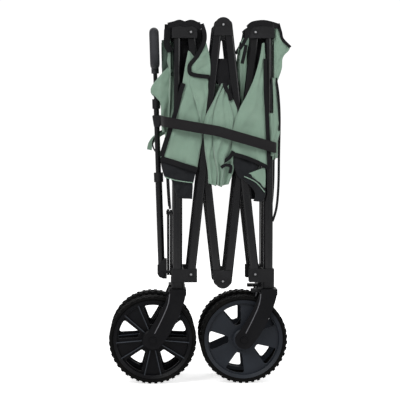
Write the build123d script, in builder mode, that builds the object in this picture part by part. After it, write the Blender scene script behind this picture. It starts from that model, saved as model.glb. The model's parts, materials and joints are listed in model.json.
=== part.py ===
from build123d import *
import os
from math import cos, radians, sin

os.makedirs("parts", exist_ok=True)

# Folding camp wagon, folded up and standing on its four wheels.
# Millimetres. +Z is up, the handle is at the front (-X), the near side is -Y.
# The origin is on the ground, midway between the four wheels.

# ---- driving dimensions ----
lean = 6.25            # angle of every scissor bar from upright when folded, degrees
bar_lower = 247.3      # bracket pin to crossing pin
bar_upper = 262.4      # crossing pin to hub pin
bar_width, bar_thick, bar_wall = 18.0, 9.0, 1.5
layer_gap = 1.0        # between the two layers of bars
pin_inset = 63.0       # a bar's pin is nearer its post than a wheel's radius by this, which keeps
                       # the front and rear wheels apart when folded
bars_apart = 1.0       # half the gap between the two bars of a hub
pin_above_crown = 29.3 # lower bracket pins above the forks' crowns
pin_r = 3.0
pin_fit = 0.05         # radial clearance of a pin in a bar
post_r, post_wall = 8.0, 1.5
sleeve_wall = 1.6      # wall of the lower post tube
slide_fit = 0.1        # radial clearance between the post tubes
sleeve_rise = 247.7    # top of the lower post above the lower pins
post_overlap = 50.0    # upper post inside the lower one
post_recess = 3.0      # top of the upper post below the bracket's top
plate_thick = 2.0      # bracket cheeks and the hubs' back plates
cover_thick = 4.5      # hub covers
cheek_gap = 0.5        # bar to cheek
bracket_margin = 12.5  # cheek past the pin
top_bracket_below, top_bracket_above = 12.0, 17.0  # bracket's reach below and above its pins
low_bracket_below, low_bracket_above = 16.3, 10.7
hub_margin, hub_shoulder_margin = 9.5, 6.5         # hub plate past its pins, at the foot and shoulder
hub_drop, hub_dome = 22.0, 15.0                    # its foot and dome from its pins
wheel_r, wheel_width = 90.0, 42.0
tyre_depth = 10.0      # tread to the tyre's seat
shoulder_depth = 4.0   # tread to the tyre's widest part
tread_half = 12.0      # half width of the flat tread
window_in, window_out = 9.0, 10.0  # a rim's windows from its hub and from the tyre's seat
window_half, window_tip_half, window_round = 20.0, 6.0, 4.0
window_turn = {"front": 90, "rear": 39}  # first window from straight ahead, degrees
web_thick = 4.0
rim_margin = 4.0       # tyre wider than the rim's barrel, each side
rim_lip = 5.0
hub_r, hub_proud, dish = 21.0, 1.0, 8.0  # wheel hub: radius, gap inside the tyre's width, web's dish
trail = 51.0           # axle ahead of its post
fork_gap, fork_thick = 2.5, 5.0
tyre_clear = 1.0       # tyre to the fork's crown
fork_crown_thick = 12.0
crown_half = 17.0      # half length of the fork's crown
arm_end = 17.0         # fork arm's round end about the axle
nut_r, nut_thick = 7.0, 3.5
axle_r, axle_fit = 4.0, 0.05
stem_r, stem_fit = 6.0, 0.05
handle_out = 32.0      # post axis to handle pivot
handle_drop = 4.3      # handle pivot below the lower pins
handle_tilt = 1.8      # handle's lean forward, degrees
handle_r = (7.0, 5.6, 4.3)          # outer, middle and inner tube
handle_wall = 1.2
handle_seen = (207.0, 152.0, 65.0)  # length of each tube that shows
handle_hidden = 150.0               # length of a tube inside the one below
grip_height, grip_width, grip_r = 84.0, 110.0, 10.0
link_width, link_thick = 14.0, 5.0
base_half, base_thick = 12.5, 1.7    # handle base's back plate
base_below, base_above = 9.0, 32.0   # its reach below and above the handle's pivot
cheek_nose, cheek_thick = 9.0, 4.0   # its cheeks: reach ahead of the pivot, thickness
collar_wall, collar_deep, collar_lip = 2.6, 16.0, 4.0
bag_foot_z = 455.0
strap_reach, strap_start_z = 111.0, 528.0  # strap's free end from the hub's centre, and its height
strap_width, strap_thick, strap_out = 21.0, 2.5, 14.5

# ---- sizes that follow ----
tilt = radians(lean)
pivot_out = wheel_r - pin_inset                   # post axis to a bar's pin
hub_pin = bar_width / 2 + bars_apart              # hub centre to each of its two pins
hub_reach, hub_shoulder = hub_pin + hub_margin, hub_pin + hub_shoulder_margin
fork_crown_z = 2 * wheel_r + tyre_clear + fork_crown_thick
pivot_low_z = fork_crown_z + pin_above_crown
handle_pivot_z = pivot_low_z - handle_drop
sleeve_top_z = pivot_low_z + sleeve_rise
post_foot_z = sleeve_top_z - post_overlap
rim_r = wheel_r - tyre_depth
rim_half = wheel_width / 2 - rim_margin
hub_half = wheel_width / 2 - hub_proud
window_r = (hub_r + window_in, rim_r - window_out)
layer = (bar_thick + layer_gap) / 2              # centre of a bar's layer from the post axis
cheek_in = layer + bar_thick / 2 + cheek_gap     # inner face of a bracket cheek
cheek_out = cheek_in + plate_thick
half_x = pivot_out + (bar_lower + bar_upper) * sin(tilt) + hub_pin
half_y = pivot_out + bar_lower * sin(tilt)
front_x, rear_x = trail - half_x, trail + half_x
pivot_top_z = pivot_low_z + 2 * bar_lower * cos(tilt)
cross_z = pivot_low_z + bar_lower * cos(tilt)
hub_top_z = pivot_low_z + (bar_lower + bar_upper) * cos(tilt)
hub_low_z = pivot_top_z - (bar_lower + bar_upper) * cos(tilt)
cross_out = pivot_out + bar_lower * sin(tilt)    # crossing pin from the post axis
sleeve_r = post_r + slide_fit + sleeve_wall
block = cheek_out                                # half width of a bracket's block
sides = {"near": -1, "far": 1}
ends = {"front": (front_x, 1), "rear": (rear_x, -1)}


def save(piece, name):
    """Label one finished piece and write it."""
    piece.label = name
    export_step(piece, f"parts/{name}.step")


def bar_part(low, high, normal, stops):
    """A flat-oval tube between two points, its ends rounded, with a hole at each stop."""
    along = (high - low).normalized()
    start = low - along * (bar_width / 2)
    run = (high - low).length + bar_width
    across = Plane(origin=start, x_dir=normal.cross(along), z_dir=along)
    flat = Plane(origin=(low + high) / 2 - normal * bar_thick, x_dir=along, z_dir=normal)
    with BuildPart() as bar:
        with BuildSketch(across):
            SlotOverall(bar_width, bar_thick - 0.01)
            SlotOverall(bar_width - 2 * bar_wall, bar_thick - 2 * bar_wall, mode=Mode.SUBTRACT)
        extrude(amount=run)
        with BuildSketch(flat):
            SlotCenterToCenter((high - low).length, bar_width)
        extrude(amount=2 * bar_thick, mode=Mode.INTERSECT)
        for stop in stops:
            centre = low + along * stop - normal * bar_thick
            with BuildSketch(Plane(origin=centre, x_dir=along, z_dir=normal)):
                Circle(pin_r + pin_fit)
            extrude(amount=2 * bar_thick, mode=Mode.SUBTRACT)
    return bar.part


def pin_part(centre, direction, start, stop, head=5.5, head_thick=1.4):
    """A rivet along a direction, between two distances from a point, with a low head at the start."""
    with BuildPart() as pin:
        with BuildSketch(Plane(origin=centre + direction * start, z_dir=direction)):
            Circle(pin_r)
        extrude(amount=stop - start)
        with BuildSketch(Plane(origin=centre + direction * start, z_dir=direction)):
            Circle(head)
        extrude(amount=-head_thick, taper=25)
    return pin.part


def span(low_corner, high_corner):
    """A plain block between two corners, given in any order."""
    low_c = [min(a, b) for a, b in zip(low_corner, high_corner)]
    high_c = [max(a, b) for a, b in zip(low_corner, high_corner)]
    size = [b - a for a, b in zip(low_c, high_c)]
    centre = [(a + b) / 2 for a, b in zip(low_c, high_c)]
    with BuildPart() as piece:
        with Locations(tuple(centre)):
            Box(*size)
    return piece.part


def bracket_part(x, y, into_x, into_y, bottom, top, bore):
    """A corner bracket: a block round the post with two cheeks each way for the bars."""
    reach = pivot_out + bracket_margin
    with BuildPart() as bracket:
        add(span((x - block, y - block, bottom), (x + block, y + block, top)))
        for face in (-1, 1):
            near, far = face * cheek_in, face * cheek_out
            add(span((x, y + near, bottom), (x + into_x * reach, y + far, top)))
            add(span((x + near, y, bottom), (x + far, y + into_y * reach, top)))
        uprights = bracket.edges().filter_by(Axis.Z)
        corner = [e for e in uprights if abs(abs(e.center().X - x) - block) < 0.1
                  and abs(abs(e.center().Y - y) - block) < 0.1]
        fillet([e for e in corner if (e.center().X - x) * into_x < 0
                and (e.center().Y - y) * into_y < 0], 3)
        with BuildSketch(Plane.XY.offset(bottom)):
            with Locations((x, y)):
                Circle(bore)
        extrude(amount=top - bottom, mode=Mode.SUBTRACT)
    return bracket.part


def tube_part(x, y, radius, wall, bottom, top):
    """A round upright tube."""
    with BuildPart() as tube:
        with BuildSketch(Plane.XY.offset(bottom)):
            with Locations((x, y)):
                Circle(radius)
                Circle(radius - wall, mode=Mode.SUBTRACT)
        extrude(amount=top - bottom)
    return tube.part


def group(name, *solids):
    """Write several solids that are fixed to each other as one node."""
    together = Compound(children=list(solids))
    save(together, name)


X, Y, Z = Vector(1, 0, 0), Vector(0, 1, 0), Vector(0, 0, 1)
low_bracket_z = (pivot_low_z - low_bracket_below, pivot_low_z + low_bracket_above)
top_bracket_z = (pivot_top_z - top_bracket_below, pivot_top_z + top_bracket_above)
crown_gap = 1.0                    # fork crown to the bracket's collar
collar_z = fork_crown_z + crown_gap
seat_fit = 0.02                    # radial clearance of what is pressed in
hole = pin_r + seat_fit

# ---- posts and corner brackets ----
for end, (x, into_x) in ends.items():
    for side, out_y in sides.items():
        y, into_y = out_y * half_y, -out_y
        place = f"{end}_{side}"
        post_top_z = top_bracket_z[1] - post_recess
        save(tube_part(x, y, post_r, post_wall, post_foot_z, post_top_z), f"upper_post_{place}")
        save(tube_part(x, y, sleeve_r, sleeve_wall, low_bracket_z[0], sleeve_top_z), f"lower_post_{place}")
        for level, (bottom, top), pin_z, bore in (
            ("upper", top_bracket_z, pivot_top_z, post_r + seat_fit),
            ("lower", low_bracket_z, pivot_low_z, sleeve_r + seat_fit),
        ):
            body = bracket_part(x, y, into_x, into_y, bottom, top, bore)
            side_pin = Vector(x + into_x * pivot_out, y, pin_z)
            end_pin = Vector(x, y + into_y * pivot_out, pin_z)
            with BuildPart() as drilled:
                add(body)
                for centre, way in ((side_pin, Y), (end_pin, X)):
                    with BuildSketch(Plane(origin=centre - way * cheek_out * 1.5, z_dir=way)):
                        Circle(hole)
                    extrude(amount=3 * cheek_out, mode=Mode.SUBTRACT)
                if level == "lower":
                    with BuildSketch(Plane.XY.offset(collar_z)):
                        with Locations((x, y)):
                            Circle(sleeve_r + 3)
                            Circle(stem_r + stem_fit, mode=Mode.SUBTRACT)
                    extrude(amount=bottom - collar_z)
            group(f"{level}_bracket_{place}", drilled.part,
                  pin_part(side_pin, Y * into_y, -cheek_out, cheek_out),
                  pin_part(end_pin, X * into_x, -cheek_out, cheek_out))

# ---- side scissors: four bars and two hubs on each side ----
for side, out_y in sides.items():
    out = Y * out_y
    for end, (x, into_x) in ends.items():
        rise = bar_lower + bar_upper
        foot = x + into_x * pivot_out
        head = foot + into_x * rise * sin(tilt)
        outer, inner = out_y * (half_y + layer), out_y * (half_y - layer)
        low, high = Vector(foot, outer, pivot_low_z), Vector(head, outer, hub_top_z)
        cross = Vector(x + into_x * cross_out, out_y * half_y, cross_z)
        group(f"rising_bar_{end}_{side}", bar_part(low, high, Y, (0, bar_lower, rise)),
              pin_part(cross, out * -1, -2 * layer, 2 * layer))
        low, high = Vector(head, inner, hub_low_z), Vector(foot, inner, pivot_top_z)
        save(bar_part(low, high, Y, (0, bar_upper, rise)), f"falling_bar_{end}_{side}")
    for level, z, face, lift in (("top", hub_top_z, 1, 1), ("bottom", hub_low_z, -1, -1)):
        # the top hub holds the outer bars, the bottom hub the inner ones
        middle = out_y * (half_y + face * layer)
        plates = []
        for way, thick in ((1, cover_thick), (-1, plate_thick)):
            at = middle + way * out_y * (bar_thick / 2 + cheek_gap / 2)
            face_plane = Plane(origin=(trail, at, z), x_dir=(1, 0, 0), z_dir=(0, way * out_y, 0))
            flip = face_plane.y_dir.Z
            with BuildPart() as plate:
                with BuildSketch(face_plane):
                    with BuildLine():
                        up_z = lift * flip
                        side_l, side_r = (-hub_shoulder, 2 * up_z), (hub_shoulder, 2 * up_z)
                        foot_l, foot_r = (-hub_reach, -hub_drop * up_z), (hub_reach, -hub_drop * up_z)
                        Polyline(side_l, foot_l, foot_r, side_r)
                        ThreePointArc(side_r, (0, hub_dome * up_z), side_l)
                    make_face()
                    with Locations((-hub_pin, 0), (hub_pin, 0), (0, 0)):
                        Circle(hole, mode=Mode.SUBTRACT)
                extrude(amount=thick)
            plates.append(plate.part)
        reach = bar_thick / 2 + cheek_gap / 2
        pins = [pin_part(Vector(trail + dx, middle, z), out * -1, -reach - cover_thick,
                         reach + plate_thick, head=pin_r + 0.6, head_thick=0.9)
                for dx in (-hub_pin, hub_pin)]
        # the middle rivet stays inside the cover, because the bars meet behind it
        pins.append(pin_part(Vector(trail, middle, z), out * -1, -reach - cover_thick, -reach,
                             head=4.2, head_thick=0.9))
        group(f"{level}_hub_{side}", *plates, *pins)

# ---- end scissors: one crossed pair at the front and one at the rear ----
quarter = bar_lower / 2
for end, (x, into_x) in ends.items():
    for name, sign, face in (("outer", -1, -1), ("inner", 1, 1)):
        # the outer bar rises from the near side to the far side
        at = x + into_x * face * layer
        low = Vector(at, sign * bar_lower * sin(tilt), pivot_low_z)
        high = Vector(at, -sign * bar_lower * sin(tilt), pivot_top_z)
        stops = [0, bar_lower, 2 * bar_lower] + ([quarter] if end == "front" else [])
        bar = bar_part(low, high, X, stops)
        if name == "outer":
            group(f"{end}_scissor_outer", bar,
                  pin_part(Vector(x, 0, cross_z), X * into_x, -2 * layer, 2 * layer))
        else:
            save(bar, f"{end}_scissor_inner")

# ---- handle base: two links that keep the handle on the centre line ----
link_gap = 0.5
link_at = [-(cheek_in + link_gap + link_thick / 2), -(cheek_in + 2 * link_gap + 1.5 * link_thick)]
plate_at = link_at[1] - link_thick / 2 - link_gap
for name, sign, at in (("near", -1, link_at[0]), ("far", 1, link_at[1])):
    low = Vector(front_x + at, 0, pivot_low_z)
    high = Vector(front_x + at, sign * quarter * sin(tilt), pivot_low_z + quarter * cos(tilt))
    along = (high - low).normalized()
    with BuildPart() as link:
        with BuildSketch(Plane(origin=(low + high) / 2 - X * link_thick / 2, x_dir=along, z_dir=X)):
            SlotCenterToCenter(quarter, link_width)
            with Locations((-quarter / 2, 0), (quarter / 2, 0)):
                Circle(pin_r + pin_fit, mode=Mode.SUBTRACT)
        extrude(amount=link_thick)
    bar_back = 2 * layer if name == "far" else -layer_gap / 2 + 0.5
    pin = pin_part(Vector(front_x, high.Y, high.Z), X, at - link_thick / 2, bar_back, head=4.5)
    group(f"handle_link_{name}", link.part, pin)

pivot = Vector(front_x - handle_out, 0, handle_pivot_z)
cheek_half = handle_r[0] + 1.5
base_z = (handle_pivot_z - base_below, handle_pivot_z + base_above)
plate_x = front_x + plate_at
with BuildPart() as base:
    add(span((plate_x, -base_half, base_z[0]), (plate_x - base_thick, base_half, base_z[1])))
    for face in (-1, 1):
        with BuildSketch(Plane(origin=(0, face * cheek_half, 0), x_dir=(1, 0, 0), z_dir=(0, face, 0))):
            nose_x = pivot.X - cheek_nose
            outline = [(plate_x, base_z[0]), (pivot.X + 2, base_z[0]), (nose_x, handle_pivot_z),
                       (nose_x, handle_pivot_z + 2 * cheek_nose), (pivot.X + 4, base_z[1]),
                       (plate_x, base_z[1])]
            with BuildLine():
                Polyline(*[(at, -face * height) for at, height in outline], close=True)
            make_face()
        extrude(amount=cheek_thick)
    for centre, way in ((pivot, Y), (Vector(front_x, 0, pivot_low_z), X)):
        with BuildSketch(Plane(origin=centre - way * half_y, z_dir=way)):
            Circle(hole)
        extrude(amount=2 * half_y, mode=Mode.SUBTRACT)
base_pin = pin_part(pivot, Y, -cheek_half - cheek_thick, cheek_half + cheek_thick, head=6, head_thick=2)
link_pin = pin_part(Vector(front_x, 0, pivot_low_z), X * -1, -link_at[0] - link_thick / 2 - 0.3,
                    -plate_at + base_thick, head=5, head_thick=1.2)
group("handle_base", base.part, base_pin, link_pin)

# ---- telescoping handle ----
up = Vector(-sin(radians(handle_tilt)), 0, cos(radians(handle_tilt)))


def handle_plane(distance):
    """The plane across the handle at a distance above its pivot."""
    return Plane(origin=pivot + up * distance, x_dir=(0, 1, 0), z_dir=up)


joints_at = [handle_seen[0], handle_seen[0] + handle_seen[1], sum(handle_seen)]
names = ("handle_outer_tube", "handle_middle_tube", "handle_inner_tube")
starts = (pin_r + 4, joints_at[0] - handle_hidden, joints_at[1] - handle_hidden)
tops = (joints_at[0], joints_at[1], joints_at[2] + 4)
for name, radius, start, top in zip(names, handle_r, starts, tops):
    with BuildPart() as tube:
        with BuildSketch(handle_plane(start)):
            Circle(radius)
            Circle(radius - handle_wall, mode=Mode.SUBTRACT)
        extrude(amount=top - start)
        if name == "handle_outer_tube":
            with BuildSketch(Plane(origin=pivot - Y * radius, z_dir=Y)):
                Circle(radius + 0.8)
            extrude(amount=2 * radius)
            with BuildSketch(Plane(origin=pivot - Y * half_y, z_dir=Y)):
                Circle(pin_r + pin_fit)
            extrude(amount=2 * half_y, mode=Mode.SUBTRACT)
    save(tube.part, name)
for name, radius, inner_r, top in (
    ("handle_lower_collar", handle_r[0], handle_r[1] + slide_fit, joints_at[0]),
    ("handle_upper_collar", handle_r[1], handle_r[2] + slide_fit, joints_at[1]),
):
    with BuildPart() as collar:
        with BuildSketch(handle_plane(top - collar_deep)):
            Circle(radius + collar_wall)
            Circle(radius + seat_fit, mode=Mode.SUBTRACT)
        extrude(amount=collar_deep)
        with BuildSketch(handle_plane(top)):
            Circle(radius + collar_wall)
            Circle(inner_r, mode=Mode.SUBTRACT)
        extrude(amount=collar_lip)
        fillet(collar.edges().filter_by(GeomType.CIRCLE).sort_by(SortBy.RADIUS)[-1], 1)
    save(collar.part, name)
grip_start = joints_at[2]
with BuildPart() as grip:
    with BuildSketch(Plane(origin=pivot + up * grip_start - Y.cross(up) * grip_r, x_dir=(0, 1, 0),
                           z_dir=Y.cross(up))):
        with Locations((0, grip_height / 2 + 0.5)):
            RectangleRounded(grip_width, grip_height, 22)
            RectangleRounded(grip_width - 4 * grip_r, grip_height - 4 * grip_r, 12, mode=Mode.SUBTRACT)
    extrude(amount=2 * grip_r)
    with BuildSketch(handle_plane(grip_start - 2)):
        Circle(handle_r[2] + seat_fit)
    extrude(amount=6.02, mode=Mode.SUBTRACT)
save(grip.part, "handle_grip")

# ---- forks, wheels and brake levers ----
arm_in = wheel_width / 2 + fork_gap
for end, (x, into_x) in ends.items():
    for side, out_y in sides.items():
        y = out_y * half_y
        place = f"{end}_{side}"
        axle_x = x - trail
        with BuildPart() as fork:
            add(span((x - crown_half, y - arm_in - fork_thick, fork_crown_z - fork_crown_thick),
                     (x + crown_half, y + arm_in + fork_thick, fork_crown_z)))
            with BuildSketch(Plane(origin=(0, y - arm_in - fork_thick, 0), x_dir=(1, 0, 0),
                                   z_dir=(0, -1, 0))):
                with BuildLine():
                    top_l = (x - crown_half, fork_crown_z - fork_crown_thick / 2)
                    top_r = (x + crown_half, fork_crown_z - fork_crown_thick / 2)
                    low_l = (axle_x - arm_end, wheel_r + 7)
                    low_r = (axle_x + arm_end + 2, wheel_r - 8)
                    ThreePointArc(top_l, (x - 0.72 * trail, (fork_crown_z + wheel_r) / 2 + 4), low_l)
                    ThreePointArc(low_l, (axle_x - 2, wheel_r - arm_end - 1), low_r)
                    ThreePointArc(low_r, (x - 2, (fork_crown_z + wheel_r) / 2 - 12), top_r)
                    Line(top_r, top_l)
                make_face()
            extrude(amount=-fork_thick)
        with BuildPart() as whole:
            add(fork.part)
            mirror(fork.part, about=Plane.XZ.offset(-y))
            with BuildSketch(Plane.XY.offset(fork_crown_z)):
                with Locations((x, y)):
                    Circle(stem_r)
            extrude(amount=low_bracket_z[0] + 6 - fork_crown_z)
            with BuildSketch(Plane(origin=(axle_x, y - 2 * arm_in, wheel_r), z_dir=Y)):
                Circle(axle_r + seat_fit)
            extrude(amount=4 * arm_in, mode=Mode.SUBTRACT)
        reach = arm_in + fork_thick
        with BuildPart() as axle:
            with BuildSketch(Plane(origin=(axle_x, y - reach, wheel_r), z_dir=Y)):
                Circle(axle_r)
            extrude(amount=2 * reach)
            for face in (-1, 1):
                with BuildSketch(Plane(origin=(axle_x, y + face * reach, wheel_r), z_dir=Y * face)):
                    RegularPolygon(nut_r, 6)
                extrude(amount=nut_thick)
        group(f"fork_{place}", whole.part, axle.part)

        with BuildPart() as tyre:
            with BuildSketch(Plane(origin=(axle_x, y, wheel_r), x_dir=(1, 0, 0), z_dir=(0, 0, 1))):
                with BuildLine():
                    half_tyre = [(rim_r, rim_half), (rim_r + 3, wheel_width / 2),
                                 (wheel_r - shoulder_depth, wheel_width / 2 - 1), (wheel_r, tread_half)]
                    Polyline(*[(r, -across) for r, across in half_tyre], *reversed(half_tyre), close=True)
                make_face()
            revolve(axis=Axis((axle_x, y, wheel_r), (0, 1, 0)))
        save(tyre.part, f"tyre_{place}")

        with BuildPart() as rim:
            with BuildSketch(Plane(origin=(axle_x, y, wheel_r), x_dir=(1, 0, 0), z_dir=(0, 0, 1))):
                with BuildLine():
                    bead, edge = rim_half - 3, rim_r - rim_lip
                    Polyline((axle_r + axle_fit, -hub_half), (hub_r, -hub_half), (hub_r, -dish),
                             (window_r[1] + 2, -dish), (edge - 2, -bead), (rim_r, -rim_half),
                             (rim_r, rim_half), (edge, bead), (edge, web_thick - dish),
                             (hub_r, web_thick - dish), (hub_r, hub_half),
                             (axle_r + axle_fit, hub_half), close=True)
                make_face()
            revolve(axis=Axis((axle_x, y, wheel_r), (0, 1, 0)))
            for count in range(5):
                turned = radians(window_turn[end] + 72 * count)
                face_plane = Plane(origin=(axle_x, y - rim_half * 2, wheel_r),
                                   x_dir=(cos(turned), 0, sin(turned)), z_dir=(0, 1, 0))
                with BuildSketch(face_plane) as window:
                    with BuildLine():
                        wide_l, wide_r = [(window_r[1] - 3, w) for w in (window_half, -window_half)]
                        tip_l, tip_r = [(window_r[0], w) for w in (window_tip_half, -window_tip_half)]
                        Polyline(wide_r, tip_r, tip_l, wide_l)
                        ThreePointArc(wide_l, (window_r[1], 0), wide_r)
                    make_face()
                    fillet(window.vertices(), window_round)
                extrude(amount=rim_half * 4, mode=Mode.SUBTRACT)
        save(rim.part, f"rim_{place}")

lever_gap, lever_reach, lever_half, lever_thick = 0.3, 18.0, 11.0, 6.0
for side, out_y in sides.items():
    y = out_y * half_y
    back = rear_x - crown_half - lever_gap
    with BuildPart() as lever:
        add(span((back - lever_reach, y - lever_half, fork_crown_z - 7),
                 (back, y + lever_half, fork_crown_z - 7 + lever_thick)))
        fillet(lever.edges().filter_by(Axis.Z).group_by(Axis.X)[0], 4)
        fillet(lever.edges().filter_by(Axis.Y).group_by(Axis.X)[-1], lever_thick / 2 - 0.05)
    save(lever.part, f"brake_lever_{side}")

# ---- bag and strap: plain stand-ins for the folded cloth ----
cloth_gap = 0.3        # cloth to what carries it
cloth_clear = 1.0      # cloth to the bars that sweep past it
bag_thick = 18.0
bag_z = (bag_foot_z, top_bracket_z[0] - cloth_gap)
bag_y = half_y - layer - bar_thick / 2 - cloth_clear
bag_x = (front_x + cheek_out + cloth_clear, rear_x - cheek_out - cloth_clear)
inner_y = (cloth_clear, bag_y - bag_thick - cloth_gap)
walls = {
    "bag_near": (bag_x, (-bag_y, bag_thick - bag_y)),
    "bag_far": (bag_x, (bag_y - bag_thick, bag_y)),
    "bag_front": ((bag_x[0], trail - hub_pin), (-inner_y[1], -inner_y[0])),
    "bag_rear": ((trail + hub_pin, bag_x[1]), inner_y),
}
for name, (wall_x, wall_y) in walls.items():
    with BuildPart() as wall:
        add(span((wall_x[0], wall_y[0], bag_z[0]), (wall_x[1], wall_y[1], bag_z[1])))
        fillet(wall.edges().filter_by(Axis.Z), 5)
    save(wall.part, name)

strap_start = (trail - strap_reach, strap_start_z)
strap_back = rear_x + sleeve_r + cloth_gap + strap_thick
strap_end = (strap_back, sleeve_top_z + 0.5 + strap_width / 2)
strap_y = -half_y - strap_out
half = strap_width / 2
with BuildPart() as strap:
    with BuildSketch(Plane(origin=(0, strap_y, 0), x_dir=(1, 0, 0), z_dir=(0, -1, 0))):
        with BuildLine():
            ahead_x, ahead_z = strap_start
            back_x, back_z = strap_end
            Polyline((ahead_x, ahead_z - half), (back_x, back_z - half),
                     (back_x, back_z + half), (ahead_x, ahead_z + half), close=True)
        make_face()
    extrude(amount=strap_thick)
    # the turn of the strap behind the rear post
    add(span((strap_back - strap_thick, strap_y - 0.1, strap_end[1] - half),
             (strap_back, -half_y + 5, strap_end[1] + half)))
save(strap.part, "closing_strap")
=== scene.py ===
import json
from math import cos, pi, radians, sin

import bmesh
import bpy
from mathutils import Matrix, Vector, noise


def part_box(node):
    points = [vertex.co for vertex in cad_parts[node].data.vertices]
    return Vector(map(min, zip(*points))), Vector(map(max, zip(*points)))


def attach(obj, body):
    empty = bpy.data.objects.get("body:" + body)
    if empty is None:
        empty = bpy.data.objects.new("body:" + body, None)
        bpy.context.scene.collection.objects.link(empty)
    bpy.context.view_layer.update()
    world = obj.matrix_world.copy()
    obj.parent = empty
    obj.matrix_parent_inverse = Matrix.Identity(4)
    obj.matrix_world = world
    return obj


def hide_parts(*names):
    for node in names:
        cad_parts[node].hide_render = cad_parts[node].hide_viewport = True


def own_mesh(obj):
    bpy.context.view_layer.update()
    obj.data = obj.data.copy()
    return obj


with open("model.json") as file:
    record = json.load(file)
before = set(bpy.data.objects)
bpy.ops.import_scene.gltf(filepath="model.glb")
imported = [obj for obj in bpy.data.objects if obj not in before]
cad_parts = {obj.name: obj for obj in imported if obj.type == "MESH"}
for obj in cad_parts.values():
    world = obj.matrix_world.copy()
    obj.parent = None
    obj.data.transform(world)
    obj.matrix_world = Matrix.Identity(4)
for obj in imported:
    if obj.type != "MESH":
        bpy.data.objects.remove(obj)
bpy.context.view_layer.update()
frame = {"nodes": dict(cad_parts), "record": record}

nodes = frame["nodes"]

# ---------------------------------------------------------------- camera
# A long lens, almost level, from the near side and a little ahead of the wagon.
camera_data = bpy.data.cameras.new("camera")
camera_data.lens = 122.0
camera_data.sensor_width = 36.0
camera = bpy.data.objects.new("camera", camera_data)
camera.location = (-0.097, -2.815, 0.470)
camera.rotation_euler = (radians(90 - 2.0), 0, radians(-2.1))
bpy.context.scene.collection.objects.link(camera)
bpy.context.scene.camera = camera

# ---------------------------------------------------------------- shared surface effects
# Fine mottling and worn patches: two scales of noise that vary a colour and a roughness.
wear_group = bpy.data.node_groups.new("worn_surface", "ShaderNodeTree")
for label, kind, value in (("Colour", "NodeSocketColor", (0.1, 0.1, 0.1, 1)),
                           ("Worn Colour", "NodeSocketColor", (0.2, 0.2, 0.2, 1)),
                           ("Roughness", "NodeSocketFloat", 0.5),
                           ("Roughness Spread", "NodeSocketFloat", 0.1),
                           ("Grain Size", "NodeSocketFloat", 600.0),
                           ("Patch Size", "NodeSocketFloat", 14.0)):
    socket = wear_group.interface.new_socket(label, in_out="INPUT", socket_type=kind)
    socket.default_value = value
for label, kind in (("Colour", "NodeSocketColor"), ("Roughness", "NodeSocketFloat"),
                    ("Grain", "NodeSocketFloat")):
    wear_group.interface.new_socket(label, in_out="OUTPUT", socket_type=kind)
wear = wear_group.nodes
link = wear_group.links.new
wear_in, wear_out = wear.new("NodeGroupInput"), wear.new("NodeGroupOutput")
where = wear.new("ShaderNodeTexCoord")
patch, grain = wear.new("ShaderNodeTexNoise"), wear.new("ShaderNodeTexNoise")
patch.inputs["Detail"].default_value = 6.0
grain.inputs["Detail"].default_value = 2.0
for texture, size in ((patch, "Patch Size"), (grain, "Grain Size")):
    link(where.outputs["Object"], texture.inputs["Vector"])
    link(wear_in.outputs[size], texture.inputs["Scale"])
worn = wear.new("ShaderNodeMapRange")
worn.inputs["From Min"].default_value = 0.52
worn.inputs["From Max"].default_value = 0.78
link(patch.outputs["Fac"], worn.inputs["Value"])
mixed = wear.new("ShaderNodeMix")
mixed.data_type = "RGBA"
link(worn.outputs["Result"], mixed.inputs["Factor"])
link(wear_in.outputs["Colour"], mixed.inputs[6])
link(wear_in.outputs["Worn Colour"], mixed.inputs[7])
link(mixed.outputs[2], wear_out.inputs["Colour"])
spread = wear.new("ShaderNodeMath")
spread.operation = "MULTIPLY_ADD"
link(patch.outputs["Fac"], spread.inputs[0])
link(wear_in.outputs["Roughness Spread"], spread.inputs[1])
link(wear_in.outputs["Roughness"], spread.inputs[2])
link(spread.outputs["Value"], wear_out.inputs["Roughness"])
link(grain.outputs["Fac"], wear_out.inputs["Grain"])


def hard_material(name, colour, worn_colour, roughness, spread_by, bump=0.1, grain_size=600.0,
                  gloss=0.25, coat=0.0, patch_size=14.0):
    """A moulded or coated surface with fine grain in its bump."""
    material = bpy.data.materials.new(name)
    material.use_nodes = True
    tree = material.node_tree
    shader = tree.nodes["Principled BSDF"]
    surface = tree.nodes.new("ShaderNodeGroup")
    surface.node_tree = wear_group
    surface.inputs["Colour"].default_value = (*colour, 1)
    surface.inputs["Worn Colour"].default_value = (*worn_colour, 1)
    surface.inputs["Roughness"].default_value = roughness
    surface.inputs["Roughness Spread"].default_value = spread_by
    surface.inputs["Grain Size"].default_value = grain_size
    surface.inputs["Patch Size"].default_value = patch_size
    relief = tree.nodes.new("ShaderNodeBump")
    relief.inputs["Strength"].default_value = bump
    relief.inputs["Distance"].default_value = 0.0006
    tree.links.new(surface.outputs["Grain"], relief.inputs["Height"])
    tree.links.new(surface.outputs["Colour"], shader.inputs["Base Color"])
    tree.links.new(surface.outputs["Roughness"], shader.inputs["Roughness"])
    tree.links.new(relief.outputs["Normal"], shader.inputs["Normal"])
    shader.inputs["Specular IOR Level"].default_value = gloss
    shader.inputs["Coat Weight"].default_value = coat
    return material


def finish_nodes(material, *names):
    """Give carried-over parts their finish."""
    for part in names:
        mesh = nodes[part].data
        mesh.materials.clear()
        mesh.materials.append(material)


# ---------------------------------------------------------------- posts and scissor bars
# Steel tubes, round for the posts and flat-oval for the bars, powder coated in satin black.
steel = hard_material("black_powder_coat", (0.003, 0.003, 0.004), (0.008, 0.008, 0.009),
                      0.16, 0.08, bump=0.10, grain_size=900.0, gloss=0.34, coat=0.12)
finish_nodes(steel, *[n for n in nodes if "post_" in n or "_bar_" in n or "scissor" in n
                      or n.startswith("handle_link")])

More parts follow.
